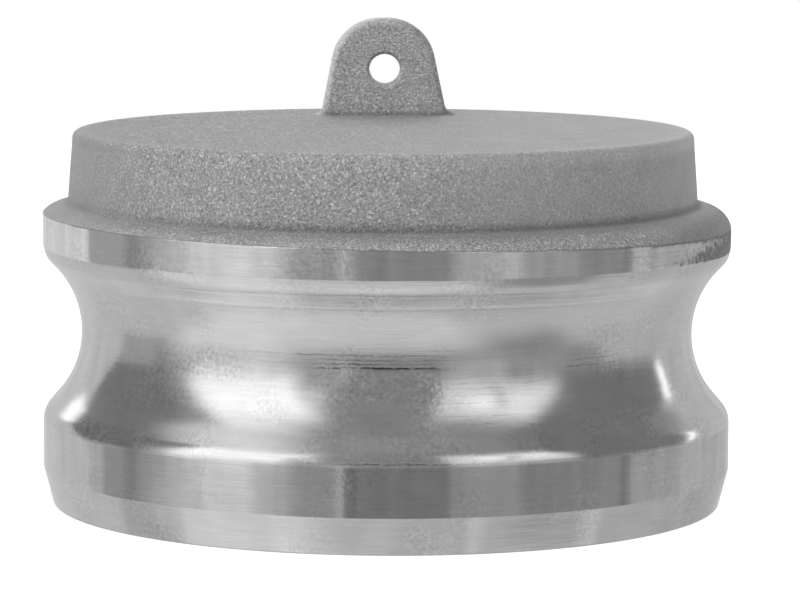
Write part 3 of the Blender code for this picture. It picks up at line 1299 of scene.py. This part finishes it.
    def relieve(self, graph: Graph, given: Node, geometry: Socket) -> Socket:
        """Sinks the cast skin unevenly, as a mould leaves it, and leaves what the lathe cut.

        Args:
            graph: The tree's graph.
            given: The group's inputs.
            geometry: The joined casting.

        Returns:
            The casting with its relief.
        """
        cast = 1.0 - self.named(graph, STOCK).rise(-self.relief_fade, 0.0)
        place = graph.add("GeometryNodeInputPosition")["Position"]
        noise = graph.noise(place, given["Relief Size"], detail=2.0, seed=given["Relief Seed"])
        sink = (noise.at_most(1.0) - 1.0) * cast * given["Relief Depth"]
        normal = graph.add("GeometryNodeInputNormal")["Normal"]
        inputs = {"Vector": normal, "Scale": sink}
        offset = graph.add("ShaderNodeVectorMath", {"operation": "SCALE"}, inputs)["Vector"]
        inputs = {"Geometry": geometry, "Offset": offset}
        return graph.add("GeometryNodeSetPosition", {}, inputs)["Geometry"]

    def build(
        self, rings: Sequence[Ring], lug: bpy.types.Object, finish: bpy.types.Material
    ) -> bpy.types.Object:
        """Runs the tree on the rings.

        Args:
            rings: The plug's outline.
            lug: The chain lug's plate.
            finish: The casting's material.

        Returns:
            The casting as a plain mesh object.
        """
        mesh = bpy.data.meshes.new("rings")
        mesh.from_pydata([(ring.cast_radius, 0.0, ring.height) for ring in rings], [], [])
        for name in RING_VALUES:
            values = [getattr(ring, name) for ring in rings]
            mesh.attributes.new(name, "FLOAT", "POINT").data.foreach_set("value", values)
        source = placed("rings", mesh)
        group, identifiers = self.tree()
        modifier = source.modifiers.new("casting", "NODES")
        modifier.node_group = group
        for name, value in {**self.sizes(), "Lug": lug, "Finish": finish}.items():
            modifier[identifiers[name]] = value
        casting = plain_copy(source, "cast_plug")
        source.modifiers.remove(modifier)
        bpy.data.objects.remove(source)
        casting.data.set_sharp_from_angle(angle=self.sharp_angle)
        return casting


@dataclass
class DustPlug:
    """The plug: one casting, with its finish."""

    node: str = "plug_casting"
    slot: str = "aluminium_casting"
    body: str = "root"

    def build(self) -> bpy.types.Object:
        """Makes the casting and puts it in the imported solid's place.

        Returns:
            The casting.
        """
        low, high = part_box(self.node)
        outline = PlugOutline(band_radius=(high.y - low.y) / 2)
        tree = CastingTree()
        lug = ChainLug(outline, tree.cast_offset).build()
        casting = tree.build(outline.rings(), lug, CastingFinish().material())
        bpy.data.objects.remove(lug)
        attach(casting, self.body)
        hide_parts(self.node)
        return casting


@dataclass(frozen=True)
class Panel:
    """A soft box, card or stretch of backdrop, by where it stands as seen from the plug.

    Azimuth is 0 towards the camera and grows to the right. Angles are in degrees, soft edges are
    as wide as they say, and slant is how far the sides lean left for each degree of height.
    """

    name: str
    level: float
    left: float
    right: float
    low: float
    high: float
    soft_left: float = 4.0
    soft_right: float = 4.0
    soft_low: float = 6.0
    soft_high: float = 6.0
    slant: float = 0.0

    def mask(self, azimuth: Socket, elevation: Socket) -> Socket:
        """Shows where the panel is.

        Args:
            azimuth: The direction's azimuth in degrees.
            elevation: Its elevation in degrees.

        Returns:
            1 inside the panel and 0 outside it, with soft edges.
        """
        middle, half = (self.left + self.right) / 2, (self.right - self.left) / 2
        turned = azimuth + elevation * self.slant if self.slant else azimuth
        offset = (turned - middle + 1.5 * TURN) % TURN - TURN / 2
        left = offset.rise(-half - self.soft_left / 2, -half + self.soft_left / 2)
        right = offset.rise(half + self.soft_right / 2, half - self.soft_right / 2)
        low = elevation.rise(self.low - self.soft_low / 2, self.low + self.soft_low / 2)
        high = elevation.rise(self.high + self.soft_high / 2, self.high - self.soft_high / 2)
        return left * right * low * high


@dataclass(frozen=True)
class Studio:
    """White sheet, soft boxes, cards and the camera."""

    room_level: float = 0.36
    panels: tuple[Panel, ...] = (
        Panel("floor", 0.84, -180, 180, -100, -27, 0.1, 0.1, 6, 24),
        Panel("floor under the plug", 0.66, -180, 180, -100, -76, 0.1, 0.1, 6, 20),
        Panel("floor, left", 0.98, -88, -36, -62, -12, 24, 40, 20, 14),
        Panel("floor, back left", 0.68, -150, -92, -52, -20, 20, 16, 16, 10),
        Panel("floor, right", 0.66, 36, 150, -100, -24, 24, 30, 6, 12),
        Panel("floor card, right", 0.36, 38, 77, -40, -12, 24, 16, 22, 8),
        Panel("left card", 0.25, -175, -86, -2, 44, 8, 16, 12, 12),
        Panel("back sheet, left", 0.68, -230, -120, -40, 24, 20, 4, 20, 8, 0.95),
        Panel("left wall, low", 0.48, -117, -96, -18, 0, 4, 10, 8, 6),
        Panel("slit, left", 1.7, -151, -141, 13, 25, 3, 4, 5, 4),
        Panel("back sheet, right", 0.60, 121, 190, -30, 24, 4, 10, 20, 6, -0.4),
        Panel("right wall, low", 0.60, 87, 160, -30, -4, 5, 20, 14, 8),
        Panel("right front wall", 0.55, 22, 48, -16, 18, 5, 16, 14, 8),
        Panel("right front card", 0.43, 46, 68, -16, 14, 10, 8, 14, 8),
        Panel("right card", 0.24, 67, 124, 0, 62, 5, 6, 12, 10),
        Panel("strip, right", 2.0, 118.2, 122.6, -1, 18, 1.5, 1.5, 7, 4, -0.37),
        Panel("left top light", 0.95, -140, -46, 46, 67, 10, 24, 12, 12),
        Panel("key box, foot", 0.80, -78, -36, -22, 20, 36, 26, 14, 20),
        Panel("key box", 1.55, -77, -29, 2, 50, 12, 16, 36, 30),
        Panel("key box, tip", 0.85, -34, -23, 10, 30, 6, 5, 8, 8),
        Panel("fill box", 1.02, 18, 66, 9, 47, 18, 9, 16, 20),
        Panel("fill box, core", 1.45, 32, 43, 22, 38, 10, 5, 12, 12),
        Panel("fill box, right core", 1.25, 46, 60, 20, 40, 8, 8, 10, 10),
        Panel("gap in the fill box", 0.60, 35, 38, 10, 34, 4, 4, 8, 10, -0.3),
        Panel("front wall, left", 0.46, -32, -14, -20, 14, 14, 1.4, 12, 16),
        Panel("front card", 0.335, -14, 20, -20, 76, 1.4, 5, 10, 10),
        Panel("gap beside the front card", 0.70, -16.2, -13.4, -14, 4, 1, 1, 6, 6),
        Panel("back light", 1.02, 154, 206, 22, 78, 16, 16, 16, 10),
        Panel("overhead", 1.2, -180, 180, 80, 110, 0.1, 0.1, 12, 1),
    )
    streak_width: float = 5.0
    streak_reach: float = 18.0
    streak_gain: float = 1.2
    sheet_front: float = 0.105
    sheet_back: float = 0.60
    sheet_side: float = 0.45
    sheet_corner: float = 0.06
    sheet_drop: float = 0.02 * MM
    sheet_colour: float = 0.8
    sheet_seen: float = 0.78
    nearest: float = 0.01
    lens: float = 188.7
    sensor: float = 36.0
    picture: tuple[float, float] = (800.0, 600.0)
    pitch: float = math.radians(7.31)
    distance: float = 0.5611
    target: tuple[float, float, float] = (0.0, 0.0, 0.020)
    target_pixel: tuple[float, float] = (386.66, 350.3)
    roll: float = math.radians(0.305)

    def build(self) -> None:
        """Makes the whole studio."""
        self.build_world()
        self.build_sheet()
        self.build_camera()
        bpy.context.scene.view_settings.view_transform = "Standard"

    def build_world(self) -> None:
        """White to the camera. To the plug it is a dim room with its boxes and cards."""
        world = bpy.data.worlds.new("studio")
        bpy.context.scene.world = world
        world.use_nodes = True
        graph = Graph(world.node_tree)
        x, y, z = graph.split(graph.add("ShaderNodeTexCoord")["Generated"])
        azimuth = x.angle_from(-1.0 * y) * DEGREES
        elevation = z.at_most(1.0).at_least(-1.0).arcsine() * DEGREES
        level = self.room_level
        for panel in self.panels:
            level = graph.mix(panel.mask(azimuth, elevation), level, panel.level, panel.name)
        streaks = graph.noise(graph.vector(azimuth, 0.0, 0.0), self.streak_width, detail=2.0)
        beside = elevation.rise(-self.streak_reach, 0.0) * elevation.rise(self.streak_reach, 0.0)
        level = level * (1.0 + (streaks - 0.5) * beside * self.streak_gain)
        seen = graph.add("ShaderNodeLightPath")["Is Camera Ray"]
        shown = graph.mix(seen, level, 1.0)
        background = graph.add("ShaderNodeBackground", {}, {"Color": shown, "Strength": 1.0})
        graph.add("ShaderNodeOutputWorld", {}, {"Surface": background[0]})

    def build_sheet(self) -> None:
        """The white sheet that the plug stands on."""
        side, front, back = self.sheet_side, -self.sheet_front, self.sheet_back
        ends = ((-side, front), (side, front), (side, back), (-side, back))
        outline = Roundings.rounded(*((*end, self.sheet_corner) for end in ends))
        bm = bmesh.new()
        verts = [bm.verts.new((x, y, -self.sheet_drop)) for x, y in outline]
        bm.faces.new(verts)
        sheet = mesh_object("white_sheet", bm)
        material, graph = new_material("white_sheet")
        path = graph.add("ShaderNodeLightPath")
        glow = path["Is Camera Ray"] * self.sheet_seen
        colour = (self.sheet_colour, self.sheet_colour, self.sheet_colour, 1.0)
        paper = graph.add("ShaderNodeBsdfDiffuse", {}, {"Color": colour})[0]
        light = graph.add("ShaderNodeEmission", {}, {"Strength": glow})[0]
        lit = graph.add("ShaderNodeAddShader", {}, {0: paper, 1: light})[0]
        clear = graph.add("ShaderNodeBsdfTransparent")[0]
        below = graph.add("ShaderNodeNewGeometry")["Backfacing"]
        hidden = path["Is Glossy Ray"].at_least(below)
        shown = graph.add("ShaderNodeMixShader", {}, {0: hidden, 1: lit, 2: clear})[0]
        graph.add("ShaderNodeOutputMaterial", {}, {"Surface": shown})
        sheet.data.materials.append(material)

    def build_camera(self) -> None:
        """Aims the camera so that its target falls on the same pixel as in the photograph."""
        data = bpy.data.cameras.new("camera")
        data.lens = self.lens
        data.sensor_width = self.sensor
        data.clip_start = self.nearest
        camera = placed("camera", data)
        target = Vector(self.target)
        back = Vector((0.0, -math.cos(self.pitch), math.sin(self.pitch)))
        width, height = self.picture
        focal = self.lens / self.sensor * width
        right = self.target_pixel[0] - width / 2
        down = self.target_pixel[1] - height / 2
        level = Matrix.Rotation(-self.roll, 2) @ Vector((right, down))
        turn = Matrix.Rotation(math.atan(level.x / focal), 4, "Y")
        tip = Matrix.Rotation(math.atan(level.y / focal), 4, "X")
        look = (-back).to_track_quat("-Z", "Y").to_matrix().to_4x4()
        stand = Matrix.Translation(target + back * self.distance)
        camera.matrix_world = stand @ look @ turn @ tip @ Matrix.Rotation(self.roll, 4, "Z")
        bpy.context.scene.camera = camera


def main() -> None:
    """Builds the plug and its studio."""
    logging.basicConfig(level=logging.INFO, format="%(name)s: %(message)s")
    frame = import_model()
    LOG.info("packed nodes: %s", ", ".join(frame["nodes"]))
    plug = DustPlug().build()
    vertices, faces = len(plug.data.vertices), len(plug.data.polygons)
    LOG.info("%s: %d vertices, %d faces", plug.name, vertices, faces)
    Studio().build()


if __name__ == "__main__":
    main()
